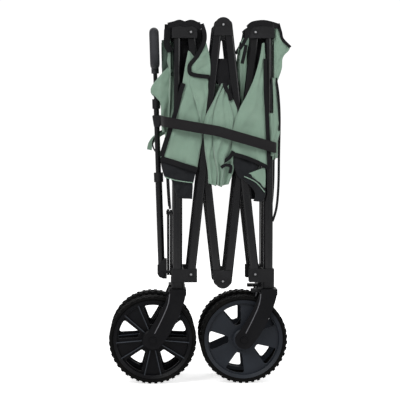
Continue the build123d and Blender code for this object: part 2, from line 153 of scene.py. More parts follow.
# ---------------------------------------------------------------- corner brackets and hubs
# Moulded nylon with a fine grain, riveted to the posts and bars; the rivets are in the same black.
nylon = hard_material("black_nylon", (0.006, 0.006, 0.007), (0.014, 0.014, 0.016),
                      0.42, 0.16, bump=0.35, grain_size=1400.0)
finish_nodes(nylon, *[n for n in nodes if "bracket" in n or "hub" in n])
finish_nodes(nylon, "handle_base", "brake_lever_near", "brake_lever_far",
             "handle_lower_collar", "handle_upper_collar")

# ---------------------------------------------------------------- rivets
# Bright steel rivet ends, one on each bracket and one on each hub, a shallow dome with a dimple.
bright_steel = hard_material("bright_steel", (0.28, 0.28, 0.29), (0.40, 0.40, 0.41), 0.22, 0.1, gloss=0.7)
body_of = {node: body for body, held in frame["record"]["behaviour"]["bodies"].items() for node in held}
rivet_profile = [(0.0, 0.0004), (0.0008, 0.0004), (0.0012, 0.0011), (0.0019, 0.0009), (0.0024, 0.0)]
rivet_steps = 20


def rivet_ring(shape, centre, outwards):
    """One rivet end, turned about its own axis and facing outwards."""
    across = outwards.orthogonal().normalized()
    upwards = outwards.cross(across)
    rings = []
    for r, lift in rivet_profile[1:]:
        rings.append([shape.verts.new(centre + outwards * lift + (across * cos(a) + upwards * sin(a)) * r)
                      for a in (2 * pi * k / rivet_steps for k in range(rivet_steps))])
    middle = shape.verts.new(centre + outwards * rivet_profile[0][1])
    for k in range(rivet_steps):
        m = (k + 1) % rivet_steps
        shape.faces.new((middle, rings[0][k], rings[0][m]))
        for inner, outer in zip(rings, rings[1:]):
            shape.faces.new((inner[k], outer[k], outer[m], inner[m]))
    shape.faces.new(list(reversed(rings[-1])))


pin_reach, head_over = 0.027, 0.0001
for node in [n for n in nodes if "bracket" in n or "_hub_" in n]:
    low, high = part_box(node)
    side_way = -1 if node.endswith("near") else 1
    face_y = low.y if side_way < 0 else high.y
    shape = bmesh.new()
    if "hub" in node:
        top = node.startswith("top")
        pin_z = high.z - 0.015 if top else low.z + 0.015
        places = [((low.x + high.x) / 2, pin_z)]
    else:
        end_way = 1 if "front" in node else -1
        post_low, post_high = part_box(node.replace("bracket", "post"))
        pin_z = low.z + (0.012 if "upper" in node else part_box(node)[1].z - low.z - 0.0107)
        places = [((post_low.x + post_high.x) / 2 + end_way * pin_reach, pin_z)]
    for x, z in places:
        rivet_ring(shape, Vector((x, face_y + side_way * head_over, z)), Vector((0, side_way, 0)))
    bmesh.ops.recalc_face_normals(shape, faces=shape.faces)
    mesh = bpy.data.meshes.new(f"rivets_{node}")
    shape.to_mesh(mesh)
    shape.free()
    mesh.materials.append(bright_steel)
    mesh.shade_smooth()
    rivets = bpy.data.objects.new(f"rivets_{node}", mesh)
    bpy.context.scene.collection.objects.link(rivets)
    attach(rivets, body_of[node])

# ---------------------------------------------------------------- forks
# Glass-filled nylon arms with a raised bead along the front edge of each arm; the beads are coloured far
# lighter than the arms, a painted highlight line.
fork_nylon = hard_material("fork_nylon", (0.002, 0.002, 0.003), (0.006, 0.006, 0.007),
                           0.40, 0.14, bump=0.4, grain_size=1800.0, gloss=0.15)
# The bead's light grey is a painted highlight along the edge of the black arm, not a colour of the nylon.
bead_painted_highlight = hard_material("fork_bead_painted_highlight", (0.10, 0.10, 0.11), (0.16, 0.16, 0.17), 0.22, 0.1, gloss=0.6)


def tube_along(name, points, radius, material, body, sides=8, closed=False):
    """A smooth tube through points, as a plain mesh that rides on a body."""
    curve = bpy.data.curves.new(name, "CURVE")
    curve.dimensions = "3D"
    spline = curve.splines.new("NURBS")
    spline.points.add(len(points) - 1)
    for spot, place in zip(spline.points, points):
        spot.co = (*place, 1)
    spline.order_u = 4
    spline.use_endpoint_u = not closed
    spline.use_cyclic_u = closed
    curve.bevel_depth = radius
    curve.bevel_resolution = sides // 4
    curve.use_fill_caps = True
    curve.resolution_u = 10
    holder = bpy.data.objects.new(name + "_path", curve)
    bpy.context.scene.collection.objects.link(holder)
    bpy.context.view_layer.update()
    mesh = bpy.data.meshes.new_from_object(holder.evaluated_get(bpy.context.evaluated_depsgraph_get()))
    bpy.data.objects.remove(holder)
    piece = bpy.data.objects.new(name, mesh)
    bpy.context.scene.collection.objects.link(piece)
    mesh.materials.clear()
    mesh.materials.append(material)
    mesh.shade_smooth()
    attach(piece, body)
    return piece


bead_r, bead_y = 0.0011, 0.0285
# distance ahead of the post's axis and height of the bead's points, in millimetres
bead_line = [(16.8, 184), (18.1, 167), (24.5, 150), (36.0, 125.7), (47.3, 103.7)]
for end in ("front", "rear"):
    for side, out in (("near", -1), ("far", 1)):
        fork = f"fork_{end}_{side}"
        finish_nodes(fork_nylon, fork)
        post_low, post_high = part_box(f"lower_post_{end}_{side}")
        post = (post_low + post_high) / 2
        for face in (-1, 1):
            bead = [(post.x - ahead / 1000, post.y + face * bead_y, up / 1000) for ahead, up in bead_line]
            tube_along(f"{fork}_bead_{'outer' if face == out else 'inner'}", bead, bead_r, bead_painted_highlight,
                       f"fork_front_{side}" if end == "front" else f"frame_rear_{side}")

# ---------------------------------------------------------------- tyres
# Solid rubber with a knobbly tread: blocks across the crown and shoulder lugs on both edges.
rubber = hard_material("tyre_rubber", (0.002, 0.002, 0.002), (0.007, 0.006, 0.005),
                       0.62, 0.2, bump=0.5, grain_size=1200.0, gloss=0.10, patch_size=40.0)
lug_count = 44


def apply_modifiers(piece):
    """Replace a piece's mesh by its evaluated one and drop its modifiers."""
    bpy.context.view_layer.update()
    mesh = bpy.data.meshes.new_from_object(piece.evaluated_get(bpy.context.evaluated_depsgraph_get()))
    piece.modifiers.clear()
    piece.data = mesh
    return piece


def turned_ring(name, profile, centre, steps, material):
    """A closed profile of (radius, across) points, turned about the wheel's axle."""
    mesh = bpy.data.meshes.new(name)
    shape = bmesh.new()
    rings = []
    for step in range(steps):
        angle = 2 * pi * step / steps
        rings.append([shape.verts.new((centre.x + r * cos(angle), centre.y + across,
                                       centre.z + r * sin(angle))) for r, across in profile])
    for step, ring in enumerate(rings):
        other = rings[(step + 1) % steps]
        for k in range(len(profile)):
            m = (k + 1) % len(profile)
            shape.faces.new((ring[k], ring[m], other[m], other[k]))
    bmesh.ops.recalc_face_normals(shape, faces=shape.faces)
    shape.to_mesh(mesh)
    shape.free()
    mesh.materials.append(material)
    mesh.shade_smooth()
    piece = bpy.data.objects.new(name, mesh)
    bpy.context.scene.collection.objects.link(piece)
    return piece


# One tread lug, repeated round the tyre in three rows by geometry nodes.
lug_mesh = bpy.data.meshes.new("lug")
lug_shape = bmesh.new()
bmesh.ops.create_cube(lug_shape, size=1)
for corner in lug_shape.verts:
    if corner.co.z > 0:
        corner.co.x *= 0.72
        corner.co.y *= 0.86
lug_shape.to_mesh(lug_mesh)
lug_shape.free()
lug = bpy.data.objects.new("tread_lug", lug_mesh)
bpy.context.scene.collection.objects.link(lug)

tread = bpy.data.node_groups.new("tyre_tread", "GeometryNodeTree")
tread.interface.new_socket("Geometry", in_out="INPUT", socket_type="NodeSocketGeometry")
tread.interface.new_socket("Geometry", in_out="OUTPUT", socket_type="NodeSocketGeometry")
for label, kind, value in (("Radius", "NodeSocketFloat", 0.086), ("Count", "NodeSocketInt", lug_count),
                           ("Shoulder", "NodeSocketFloat", 0.016)):
    tread.interface.new_socket(label, in_out="INPUT", socket_type=kind).default_value = value
make = tread.nodes
join_to = tread.links.new
tread_in, tread_out = make.new("NodeGroupInput"), make.new("NodeGroupOutput")
join = make.new("GeometryNodeJoinGeometry")
lug_info = make.new("GeometryNodeObjectInfo")
lug_info.inputs["Object"].default_value = lug
for row, (across, tilt, size) in enumerate(((-1, -0.5, (0.0082, 0.0095, 0.006)),
                                            (0, 0.0, (0.0075, 0.017, 0.006)),
                                            (1, 0.5, (0.0082, 0.0095, 0.006)))):
    ring = make.new("GeometryNodeMeshCircle")
    join_to(tread_in.outputs["Radius"], ring.inputs["Radius"])
    join_to(tread_in.outputs["Count"], ring.inputs["Vertices"])
    spin = make.new("GeometryNodeTransform")
    spin.inputs["Rotation"].default_value = (0, 0, (0.5 if across else 0.0) * 2 * pi / lug_count)
    join_to(ring.outputs["Mesh"], spin.inputs["Geometry"])
    normal = make.new("GeometryNodeInputPosition")
    aim = make.new("FunctionNodeAlignRotationToVector")
    aim.axis = "Z"
    join_to(normal.outputs["Position"], aim.inputs["Vector"])
    place = make.new("GeometryNodeInstanceOnPoints")
    join_to(spin.outputs["Geometry"], place.inputs["Points"])
    join_to(lug_info.outputs["Geometry"], place.inputs["Instance"])
    aim_y = make.new("FunctionNodeAlignRotationToVector")
    aim_y.axis = "Y"
    aim_y.inputs["Vector"].default_value = (0, 0, 1)
    aim_y.pivot_axis = "Z"
    join_to(aim.outputs["Rotation"], aim_y.inputs["Rotation"])
    join_to(aim_y.outputs["Rotation"], place.inputs["Rotation"])
    place.inputs["Scale"].default_value = size
    shift = make.new("ShaderNodeMath")
    shift.operation = "MULTIPLY"
    shift.inputs[1].default_value = across
    join_to(tread_in.outputs["Shoulder"], shift.inputs[0])
    offset = make.new("ShaderNodeCombineXYZ")
    join_to(shift.outputs["Value"], offset.inputs["Z"])
    move = make.new("GeometryNodeTransform")
    join_to(place.outputs["Instances"], move.inputs["Geometry"])
    join_to(offset.outputs["Vector"], move.inputs["Translation"])
    join_to(move.outputs["Geometry"], join.inputs["Geometry"])
real = make.new("GeometryNodeRealizeInstances")
coat = make.new("GeometryNodeSetMaterial")
coat.inputs["Material"].default_value = rubber
join_to(join.outputs["Geometry"], real.inputs["Geometry"])
join_to(real.outputs["Geometry"], coat.inputs["Geometry"])
join_to(coat.outputs["Geometry"], tread_out.inputs["Geometry"])

carcass = [(0.0802, -0.0172), (0.0835, -0.0205), (0.0858, -0.0200), (0.0872, -0.0165), (0.0880, -0.008),
           (0.0882, 0.0), (0.0880, 0.008), (0.0872, 0.0165), (0.0858, 0.0200), (0.0835, 0.0205),
           (0.0802, 0.0172)]
for end in ("front", "rear"):
    for side in ("near", "far"):
        low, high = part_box(f"tyre_{end}_{side}")
        centre = (low + high) / 2
        body = f"wheel_{end}_{side}"
        tyre = turned_ring(f"rubber_tyre_{end}_{side}", carcass, centre, 96, rubber)
        lugs = bpy.data.objects.new(f"tread_{end}_{side}", bpy.data.meshes.new("tread"))
        bpy.context.scene.collection.objects.link(lugs)
        maker = lugs.modifiers.new("tread", "NODES")
        maker.node_group = tread
        apply_modifiers(lugs)
        upright = Matrix.Rotation(radians(90), 4, "X")
        lugs.data.transform(Matrix.Translation(centre) @ upright)
        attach(tyre, body)
        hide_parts(f"tyre_{end}_{side}")
        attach(lugs, body)
bpy.data.objects.remove(lug)

# ---------------------------------------------------------------- rims
# Injection-moulded rims with five windows: deep and ribbed in front, smooth and blue-grey behind. The front
# ribs are coloured lighter than the black rim, a painted highlight.
rim_black = hard_material("rim_black", (0.002, 0.002, 0.003), (0.006, 0.007, 0.009), 0.34, 0.12,
                          bump=0.2, grain_size=1500.0, gloss=0.14)
# Light blue-grey on the front ribs: painted highlight on ribs of the black rim.
rib_painted_highlight = hard_material("rib_blue_grey_painted_highlight", (0.026, 0.031, 0.041), (0.040, 0.046, 0.058), 0.30, 0.12,
                         bump=0.2, grain_size=1500.0, gloss=0.45)
rim_grey = hard_material("rim_blue_grey", (0.012, 0.015, 0.021), (0.019, 0.024, 0.032), 0.40, 0.15,
                         bump=0.2, grain_size=1500.0)
rib_thick, rib_in, rib_out = 0.0016, 0.021, 0.0750
rib_turns = [radians(54 + 72 * k + d) for k in range(5) for d in (-13, 13)]
hub_profile = [(0.0125, 0.0160), (0.0125, 0.0212), (0.0150, 0.0214), (0.0205, 0.0206), (0.0222, 0.0190),
               (0.0222, 0.0160)]
for end, material in (("front", rim_black), ("rear", rim_grey)):
    for side in ("near", "far"):
        finish_nodes(material, f"rim_{end}_{side}")
        low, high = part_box(f"rim_{end}_{side}")
        centre = (low + high) / 2
        for face in (-1, 1):
            cap = turned_ring(f"hub_ring_{end}_{side}_{'outer' if face < 0 else 'inner'}",
                              [(r, face * across) for r, across in hub_profile], centre, 48, material)
            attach(cap, f"wheel_{end}_{side}")
        if end == "rear":
            continue
        shape = bmesh.new()
        outline = [(rib_in, 0.004), (rib_in, 0.0155), (rib_out, 0.0150), (rib_out, 0.004)]
        for face in (-1, 1):
            for angle in rib_turns:
                ahead = Vector((cos(angle), 0, sin(angle)))
                across = Vector((-sin(angle), 0, cos(angle))) * rib_thick / 2
                one, two = [[shape.verts.new(centre + ahead * r + Vector((0, face * a, 0)) + across * s)
                             for r, a in outline] for s in (-1, 1)]
                shape.faces.new(one)
                shape.faces.new(list(reversed(two)))
                for k in range(4):
                    shape.faces.new((one[k], two[k], two[(k + 1) % 4], one[(k + 1) % 4]))
        bmesh.ops.recalc_face_normals(shape, faces=shape.faces)
        mesh = bpy.data.meshes.new(f"ribs_{side}")
        shape.to_mesh(mesh)
        shape.free()
        mesh.materials.append(rib_painted_highlight)
        ribs = bpy.data.objects.new(f"rim_ribs_{end}_{side}", mesh)
        bpy.context.scene.collection.objects.link(ribs)
        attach(ribs, f"wheel_{end}_{side}")

# ---------------------------------------------------------------- handle
# Three telescoping steel tubes with nylon collars, a clip on the middle one, and a rubber loop grip.
finish_nodes(steel, "handle_outer_tube", "handle_middle_tube", "handle_inner_tube")
grip_rubber = hard_material("grip_rubber", (0.026, 0.027, 0.031), (0.042, 0.044, 0.049), 0.55, 0.15,
                            bump=0.5, grain_size=1600.0)
low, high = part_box("handle_grip")
grip_r = 0.0098
lean = Vector((-sin(radians(1.8)), 0, cos(radians(1.8))))
foot = Vector(((low.x + high.x) / 2, 0, (low.z + high.z) / 2)) - lean * ((high.z - low.z) / 2 - grip_r)
half_wide, tall = (high.y - low.y) / 2 - grip_r, high.z - low.z - 2 * grip_r
loop = [foot + Vector((0, y * half_wide, 0)) + lean * z * tall for y, z in (
    (-0.25, 0), (-0.7, 0.02), (-0.98, 0.2), (-1.0, 0.5), (-1.0, 0.82), (-0.8, 1.0), (-0.4, 1.0), (0, 1.0),
    (0.4, 1.0), (0.8, 1.0), (1.0, 0.82), (1.0, 0.5), (0.98, 0.2), (0.7, 0.02), (0.25, 0))]
grip = tube_along("grip_loop", loop, grip_r, grip_rubber, "handle_inner", sides=24, closed=True)
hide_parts("handle_grip")
socket_low = foot - lean * 0.018
grip_socket = tube_along("grip_socket", [socket_low + lean * k * 0.006 for k in range(5)], 0.0078,
                         grip_rubber, "handle_inner", sides=16)
pivot_in, pivot_up, clip_along = 0.007, 0.218, 0.317
clip_size = (0.021, 0.026, 0.025)
pivot = Vector((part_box("handle_outer_tube")[1].x - pivot_in, 0, pivot_up))
clip_at = pivot + lean * clip_along
clip_mesh = bpy.data.meshes.new("strap_clip")
clip_shape = bmesh.new()
bmesh.ops.create_cube(clip_shape, size=1)
for corner in clip_shape.verts:
    if corner.co.z < 0:
        corner.co.x *= 0.62
for corner in clip_shape.verts:
    corner.co = clip_at + Vector([place * size for place, size in zip(corner.co, clip_size)])
clip_shape.to_mesh(clip_mesh)
clip_shape.free()
clip_mesh.materials.append(nylon)
clip = bpy.data.objects.new("strap_clip", clip_mesh)
bpy.context.scene.collection.objects.link(clip)
round_off = clip.modifiers.new("round", "BEVEL")
round_off.width = 0.003
round_off.segments = 3
apply_modifiers(clip)
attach(clip, "handle_middle")

# ---------------------------------------------------------------- bag cloth
# Coated polyester in sage green, bound in black and hung from the brackets and hubs. Folded up,
# it gathers between the bars in long pleats and bellies out over the posts.


def cloth_material(name, colour, shade, weave, sheen=0.35, roughness=0.85, bump=0.35):
    """Plain woven cloth: crossed threads in the bump, with slubs and creases varying the colour."""
    material = bpy.data.materials.new(name)
    material.use_nodes = True
    tree = material.node_tree
    shader = tree.nodes["Principled BSDF"]
    spot = tree.nodes.new("ShaderNodeTexCoord")
    threads = []
    for axis in ("X", "Z"):
        wave = tree.nodes.new("ShaderNodeTexWave")
        wave.bands_direction = axis
        wave.inputs["Scale"].default_value = weave
        wave.inputs["Distortion"].default_value = 0.6
        wave.inputs["Detail"].default_value = 1.0
        tree.links.new(spot.outputs["Object"], wave.inputs["Vector"])
        threads.append(wave)
    crossed = tree.nodes.new("ShaderNodeMath")
    crossed.operation = "MAXIMUM"
    for k, wave in enumerate(threads):
        tree.links.new(wave.outputs["Fac"], crossed.inputs[k])
    surface = tree.nodes.new("ShaderNodeGroup")
    surface.node_tree = wear_group
    surface.inputs["Colour"].default_value = (*colour, 1)
    surface.inputs["Worn Colour"].default_value = (*shade, 1)
    surface.inputs["Roughness"].default_value = roughness - 0.1
    surface.inputs["Roughness Spread"].default_value = 0.2
    surface.inputs["Grain Size"].default_value = 260.0
    surface.inputs["Patch Size"].default_value = 22.0
    tree.links.new(surface.outputs["Colour"], shader.inputs["Base Color"])
    tree.links.new(surface.outputs["Roughness"], shader.inputs["Roughness"])
    relief = tree.nodes.new("ShaderNodeBump")
    relief.inputs["Strength"].default_value = bump
    relief.inputs["Distance"].default_value = 0.0004
    tree.links.new(crossed.outputs["Value"], relief.inputs["Height"])
    slub = tree.nodes.new("ShaderNodeBump")
    slub.inputs["Strength"].default_value = 0.3
    slub.inputs["Distance"].default_value = 0.0008
    tree.links.new(surface.outputs["Grain"], slub.inputs["Height"])
    tree.links.new(relief.outputs["Normal"], slub.inputs["Normal"])
    tree.links.new(slub.outputs["Normal"], shader.inputs["Normal"])
    shader.inputs["Sheen Weight"].default_value = sheen
    shader.inputs["Specular IOR Level"].default_value = 0.2
    return material


sage = cloth_material("sage_polyester", (0.203, 0.300, 0.232), (0.235, 0.335, 0.262), 420.0)
binding = cloth_material("black_binding", (0.005, 0.005, 0.006), (0.010, 0.010, 0.011), 300.0, sheen=0.03)
floor_cloth = cloth_material("dark_grey_oxford", (0.009, 0.010, 0.012), (0.015, 0.016, 0.018), 300.0,
                             sheen=0.06)
# A darker sage that stands for the shadow in the front corner of the cloth: painted shade on the same green
# cloth.
sage_painted_shade = cloth_material("sage_painted_shade", (0.048, 0.075, 0.058), (0.062, 0.094, 0.074), 420.0, sheen=0.1)
cloth_thick = 0.0012
noise_size, noise_lift = 26.0, 0.0035


def along_line(points, share):
    """A point at a share of the way along a smooth line through points."""
    at = share * (len(points) - 1)
    k = min(int(at), len(points) - 2)
    t = at - k
    before, after = points[max(k - 1, 0)], points[min(k + 2, len(points) - 1)]
    a, b = Vector(points[k]), Vector(points[k + 1])
    pull_a, pull_b = (b - Vector(before)) / 2, (Vector(after) - a) / 2
    return (a * (2 * t ** 3 - 3 * t ** 2 + 1) + pull_a * (t ** 3 - 2 * t ** 2 + t)
            + b * (3 * t ** 2 - 2 * t ** 3) + pull_b * (t ** 3 - t ** 2))


def hang_cloth(name, left, right, out, material, pleats=2.0, depth=0.006, belly=0.006, slant=0.4,
               columns=40, rows=64, hem=0.0, end_way=0):
    """A sheet between two edges, top to bottom, with slanting pleats, a belly and small creases.
    The edges are given for the near side and turned over for the far side. An end wall bellies
    along the wagon, forwards (-1) or backwards (1), and any other sheet away from the middle."""
    mesh = bpy.data.meshes.new(name)
    shape = bmesh.new()
    grid = []
    for row in range(rows + 1):
        t = row / rows
        a, b = along_line(left, t), along_line(right, t)
        line = []
        for column in range(columns + 1):
            u = column / columns
            p = a.lerp(b, u)
            hold = sin(pi * min(max(u, 0), 1)) ** 0.6
            fold = sin(2 * pi * (pleats * (u + slant * (t - 0.5)) + 0.15 * sin(3.1 * t * pi)))
            sharp = abs(fold) ** 0.6 * (1 if fold > 0 else -1)
            crease = noise.noise(p * noise_size + Vector((7.3, 1.7, 0.4))) * noise_lift * 2
            fine = noise.noise(p * noise_size * 3.2) * noise_lift * 0.6
            sewn = min(1, 6 * min(u, 1 - u, 1 - t) + 0.08)
            crease, fine = crease * sewn, fine * sewn
            lift = belly * hold + depth * sharp * hold * (0.35 + 0.65 * t) - crease - fine
            z = p.z - hem * hold * (1 - t) ** 2
            if end_way:
                line.append(shape.verts.new((p.x + end_way * lift, p.y * -out, z)))
            else:
                line.append(shape.verts.new((p.x + crease * 0.5, (p.y - lift) * -out, z)))
        grid.append(line)
    for row in range(rows):
        for column in range(columns):
            shape.faces.new((grid[row][column], grid[row][column + 1],
                             grid[row + 1][column + 1], grid[row + 1][column]))
    area = sum(f.calc_area() for f in shape.faces)
    bmesh.ops.recalc_face_normals(shape, faces=shape.faces)
    shape.to_mesh(mesh)
    shape.free()
    mesh.materials.append(material)
    piece = bpy.data.objects.new(name, mesh)
    bpy.context.scene.collection.objects.link(piece)
    wall = piece.modifiers.new("wall", "SOLIDIFY")
    wall.thickness = cloth_thick
    wall.offset = 0
    apply_modifiers(piece)
    piece.data.shade_smooth()
    return piece


mid_x = sum((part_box("top_hub_near")[k].x for k in (0, 1))) / 2
side_y = -sum((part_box("upper_post_front_near")[k].y for k in (0, 1))) / 2
rim_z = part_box("upper_bracket_front_near")[0].z


def hung(*points):
    """Places given in millimetres: along from the hub's middle line, out from the posts' axes and
    down from the underside of the brackets."""
    return [(mid_x + along / 1000, -side_y - out / 1000, rim_z - down / 1000) for along, out, down in points]


def tape(name, points, width, thick, material, out=-1, flat_way=Vector((0, 1, 0)), steps=48):
    """Flat woven tape along a smooth line, its width square to the line and to one direction."""
    shape = bmesh.new()
    lines = [[], []]
    for step in range(steps + 1):
        share = step / steps
        place = along_line(points, share)
        ahead = along_line(points, min(share + 0.01, 1)) - along_line(points, max(share - 0.01, 0))
        over = ahead.cross(flat_way).normalized() * width / 2
        for line, sign in zip(lines, (-1, 1)):
            at = place + over * sign
            line.append(shape.verts.new((at.x, at.y * -out, at.z)))
    for k in range(steps):
        shape.faces.new((lines[0][k], lines[0][k + 1], lines[1][k + 1], lines[1][k]))
    long = sum(f.calc_area() for f in shape.faces) / width
    bmesh.ops.recalc_face_normals(shape, faces=shape.faces)
    mesh = bpy.data.meshes.new(name)
    shape.to_mesh(mesh)
    shape.free()
    mesh.materials.append(material)
    piece = bpy.data.objects.new(name, mesh)
    bpy.context.scene.collection.objects.link(piece)
    wall = piece.modifiers.new("wall", "SOLIDIFY")
    wall.thickness = thick
    wall.offset = 0
    apply_modifiers(piece)
    return piece, long


def carry(piece, side, part):
    """Hold a piece of cloth by the post or the hub that it hangs on. The posts and hubs stay upright as the
    wagon opens, and the cloth stays gathered at them and draws up towards the rim."""
    holder = {"front": "upper_front", "rear": "upper_rear", "middle": "top_hub"}[part.split()[0]]
    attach(piece, f"{holder}_{side}")
    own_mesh(piece)


# Each panel: the part that carries it, its left and right edge from top to bottom, its cloth, and how
# many pleats it has, how deep they are and how far it bellies out.
panels = {
    "front_panel": ("front", sage, 1.2, 0.003, 0.003,
                    hung((-71, 12, 26), (-78, 13, 63), (-85, 15, 104), (-95, 17, 144), (-109, 18, 189),
                         (-126, 15, 243)),
                    hung((-68, 11, 28), (-42, 10, 62), (-31, 9.6, 100), (-33, 9.6, 130), (-39, 9.6, 168),
                         (-43, 10, 205), (-53, 11, 263))),
    "front_lap": ("front", sage, 0.8, 0.0035, 0.003,
                  hung((-73, 17, 52), (-69, 18, 90), (-58, 17, 126), (-48, 15, 160), (-42, 12, 186)),
                  hung((-31, 12, 74), (-31, 12, 100), (-33, 12, 130), (-37, 12, 165), (-40, 11, 188))),
    "front_rim": ("front rim", sage, 0.7, 0.002, 0.001,
                  hung((-41, 13, 4), (-53, 18, 36), (-68, 20, 58), (-67, 20, 72)),
                  hung((-37, 12, 2), (-29, 12, 32), (-26, 12, 58), (-27, 13, 77))),
    # Black sheets just inside the bag, behind the rim and the top of the front wall: painted shade, standing
    # for the shadow inside the folded bag and between the bars.
    "front_rim_lining": ("front", binding, 0.5, 0.001, 0.0,
                         hung((-107, -10, -33), (-107, -10, -10), (-107, -10, 6)),
                         hung((-46, -10, -34), (-45, -10, -10), (-45, -10, 6))),
    "front_lining": ("front", binding, 2.0, 0.003, 0.0,
                     hung((-76, -11, -20), (-92, -11, 6), (-92, -11, 60), (-88, -11, 120)),
                     hung((-40, -11, -20), (-39, -11, 6), (-38, -11, 40), (-40, -11, 120))),
    "front_pocket": ("front", floor_cloth, 1.0, 0.002, 0.003,
                     hung((-126, 13, 246), (-124, 15, 262), (-119, 15, 281)),
                     hung((-54, 12, 264), (-57, 14, 276), (-61, 14, 293))),
    "front_floor": ("front", floor_cloth, 1.6, 0.003, 0.001,
                    hung((-106, 10, 276), (-101, 10, 298), (-92, 9, 324)),
                    hung((-62, 10, 286), (-62, 10, 304), (-63, 9, 326))),
    "middle_lining": ("middle", binding, 1.5, 0.002, 0.0,
                      hung((-17, 2, 41), (-14, 3, 78), (-4, 7, 104), (10, 11, 126)),
                      hung((20, 2, 41), (21, 3, 70), (19, 7, 98), (15, 11, 127))),
    "middle_fold_one": ("middle", sage, 0.8, 0.0045, 0.003,
                        hung((-3, 6, 92), (-19, 9, 126), (-37, 14, 162), (-40, 15, 195), (-36, 14, 235),
                             (-31, 10, 270), (-30, 8, 294)),
                        hung((1, 7, 92), (-9, 9, 126), (-16, 14, 162), (-18, 15, 195), (-16, 14, 235),
                             (-13, 11, 270), (-14, 8, 300))),
    "middle_fold_two": ("middle", sage, 1.1, 0.005, 0.004,
                        hung((1, 9, 98), (-12, 12, 126), (-21, 17, 162), (-21, 18, 195), (-19, 17, 235),
                             (-12, 12, 270), (-12, 9, 298)),
                        hung((5, 9, 98), (11, 12, 126), (20, 17, 162), (14, 18, 195), (6, 17, 235),
                             (3, 13, 262), (-3, 9, 302))),
    "middle_fold_three": ("middle", sage, 1.1, 0.005, 0.002,
                          hung((6, 5, 100), (7, 8, 130), (8, 13, 165), (6, 14, 195), (0, 13, 235),
                               (-3, 10, 265), (-6, 7, 300)),
                          hung((13, 5, 92), (18, 8, 118), (29, 13, 150), (26, 13, 195), (22, 12, 235),
                               (22, 10, 262), (11, 7, 296))),
    "rear_panel": ("rear", sage, 1.1, 0.003, 0.004,
                   hung((79, 11, 10), (73, 13, 45), (61, 15, 85), (46, 16, 118), (33, 17, 142),
                        (21, 17, 178), (18, 16, 205), (17, 15, 235)),
                   hung((83, 11, 10), (85, 12, 60), (86, 12, 110), (88, 13, 160), (90, 14, 200),
                        (93, 14, 262))),
    # A black sheet just inside the bag behind the top of the rear wall: painted shade for the shadow inside
    # the folded bag.
    "rear_lining": ("rear", binding, 2.0, 0.003, 0.0,
                    hung((40, -11, 0), (40, -11, 60), (46, -11, 120)),
                    hung((92, -11, 0), (92, -11, 60), (90, -11, 120))),
    "rear_rim": ("rear rim", sage, 0.8, 0.002, 0.0,
                 hung((42, -11, -2), (38, -9, 10), (34, -8, 50), (36, -8, 130)),
                 hung((53, -11, -2), (53, -9, 8), (49, -8, 40), (52, -8, 130))),
    "rear_pocket": ("rear", floor_cloth, 1.0, 0.002, 0.003,
                    hung((17, 13, 235), (22, 14, 262), (32, 13, 284)),
                    hung((62, 12, 246), (72, 13, 264), (58, 13, 284))),
    "rear_tuck": ("rear", sage, 0.7, 0.001, 0.001,
                  hung((50, 16, 275), (62, 16, 284), (80, 16, 302)),
                  hung((85, 14, 262), (86, 14, 282), (85, 14, 303))),
    "rear_floor": ("rear", floor_cloth, 0.8, 0.001, 0.004,
                   hung((33, 13, 279), (58, 14, 302), (66, 12, 318), (62, 9, 330)),
                   hung((52, 15, 277), (76, 16, 294), (86, 15, 312), (80, 9, 332))),
    # The front corner sheet takes the darker green: painted shade where the corner lies in shadow.
    "front_corner": ("front post", sage_painted_shade, 1.2, 0.003, 0.0,
                     hung((-124, -20, 2), (-124, -20, 40), (-123, -20, 72)),
                     hung((-101, -14, 2), (-101, -14, 40), (-101, -14, 76))),
    "front_flap": ("front post", sage, 1.0, 0.003, 0.002,
                   hung((-112, -14, 58), (-124, -16, 70), (-147, -14, 101), (-136, -12, 119),
                        (-126, -10, 133), (-125, -8, 160), (-123, -8, 190)),
                   hung((-100, -15, 66), (-98, -15, 90), (-98, -15, 112), (-99, -15, 130),
                        (-100, -15, 145), (-103, -14, 165), (-108, -13, 192))),
    "rear_corner": ("rear post", sage, 0.8, 0.002, 0.002,
                    hung((104, 2, -26), (104, 2, 8), (104, 3, 46), (104, 4, 88)),
                    hung((114, 2, -28), (119, 2, -4), (136, 2, 18), (122, 3, 38), (119, 4, 62),
                         (109, 5, 90))),
    "rear_edge": ("rear post", sage, 1.0, 0.002, 0.002,
                  hung((101, 10, 80), (102, 10, 150), (100, 11, 245)),
                  hung((108, 4, 84), (110, 4, 120), (113, 4, 150), (117, 5, 182), (109, 6, 216),
                       (102, 7, 247))),
    "post_sleeve": ("rear post", sage, 0.5, 0.001, 0.003,
                    hung((92, 12, 152), (93, 13, 196), (95, 13, 239)),
                    hung((103, 8, 152), (104, 9, 196), (103, 9, 239))),
}
